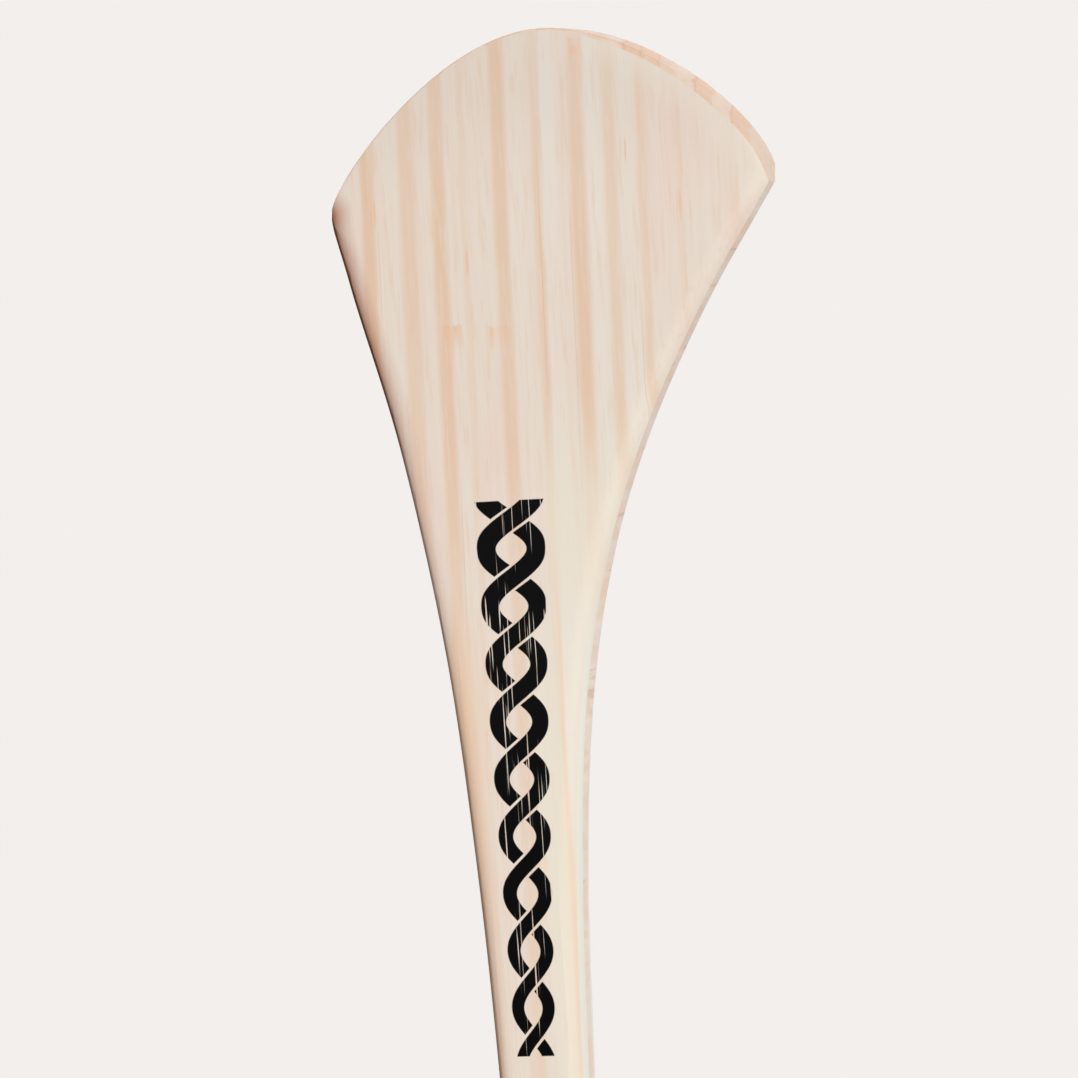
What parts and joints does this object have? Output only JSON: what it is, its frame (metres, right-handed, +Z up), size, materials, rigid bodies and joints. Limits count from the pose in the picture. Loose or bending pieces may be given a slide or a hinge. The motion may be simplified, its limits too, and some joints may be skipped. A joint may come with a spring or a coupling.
{
  "type": "hurley",
  "caption": "Hurling stick of laminated bamboo strips with a broad flat bas, a hooked butt, a bandaged heel and a wound hand grip.",
  "frame": {"origin": "middle of the hand grip, on the handle's axis", "axes": "+Z up the shaft towards the bas, +X across the face towards the toe, -Y out of the front face"},
  "size_m": [0.1321, 0.0256, 0.889],
  "materials": {
    "bamboo": "sanded, clear satin lacquer",
    "grip": "tacky satin overgrip",
    "heel_wrap": "satin black bandage",
    "end_tape": "glossy black tape"
  },
  "bodies": {
    "root": {"heel_lamella_01": "bamboo", "heel_lamella_02": "bamboo", "heel_lamella_03": "bamboo", "heel_lamella_04": "bamboo", "heel_lamella_05": "bamboo", "heel_lamella_06": "bamboo", "heel_lamella_07": "bamboo", "heel_lamella_08": "bamboo", "heel_lamella_09": "bamboo", "toe_lamella_01": "bamboo", "toe_lamella_02": "bamboo", "toe_lamella_03": "bamboo", "toe_lamella_04": "bamboo", "toe_lamella_05": "bamboo", "toe_lamella_06": "bamboo", "toe_lamella_07": "bamboo", "toe_lamella_08": "bamboo", "toe_lamella_09": "bamboo", "toe_lamella_10": "bamboo", "toe_lamella_11": "bamboo", "toe_lamella_12": "bamboo", "toe_lamella_13": "bamboo", "toe_lamella_14": "bamboo", "toe_lamella_15": "bamboo", "toe_lamella_16": "bamboo", "toe_lamella_17": "bamboo", "butt_lamella_04": "bamboo", "butt_lamella_05": "bamboo", "butt_lamella_06": "bamboo", "butt_lamella_07": "bamboo", "butt_lamella_08": "bamboo", "butt_lamella_09": "bamboo", "heel_wrap": "heel_wrap", "heel_band": "grip", "grip_winding": "grip", "grip_end_tape": "end_tape"}
  },
  "joints": []
}
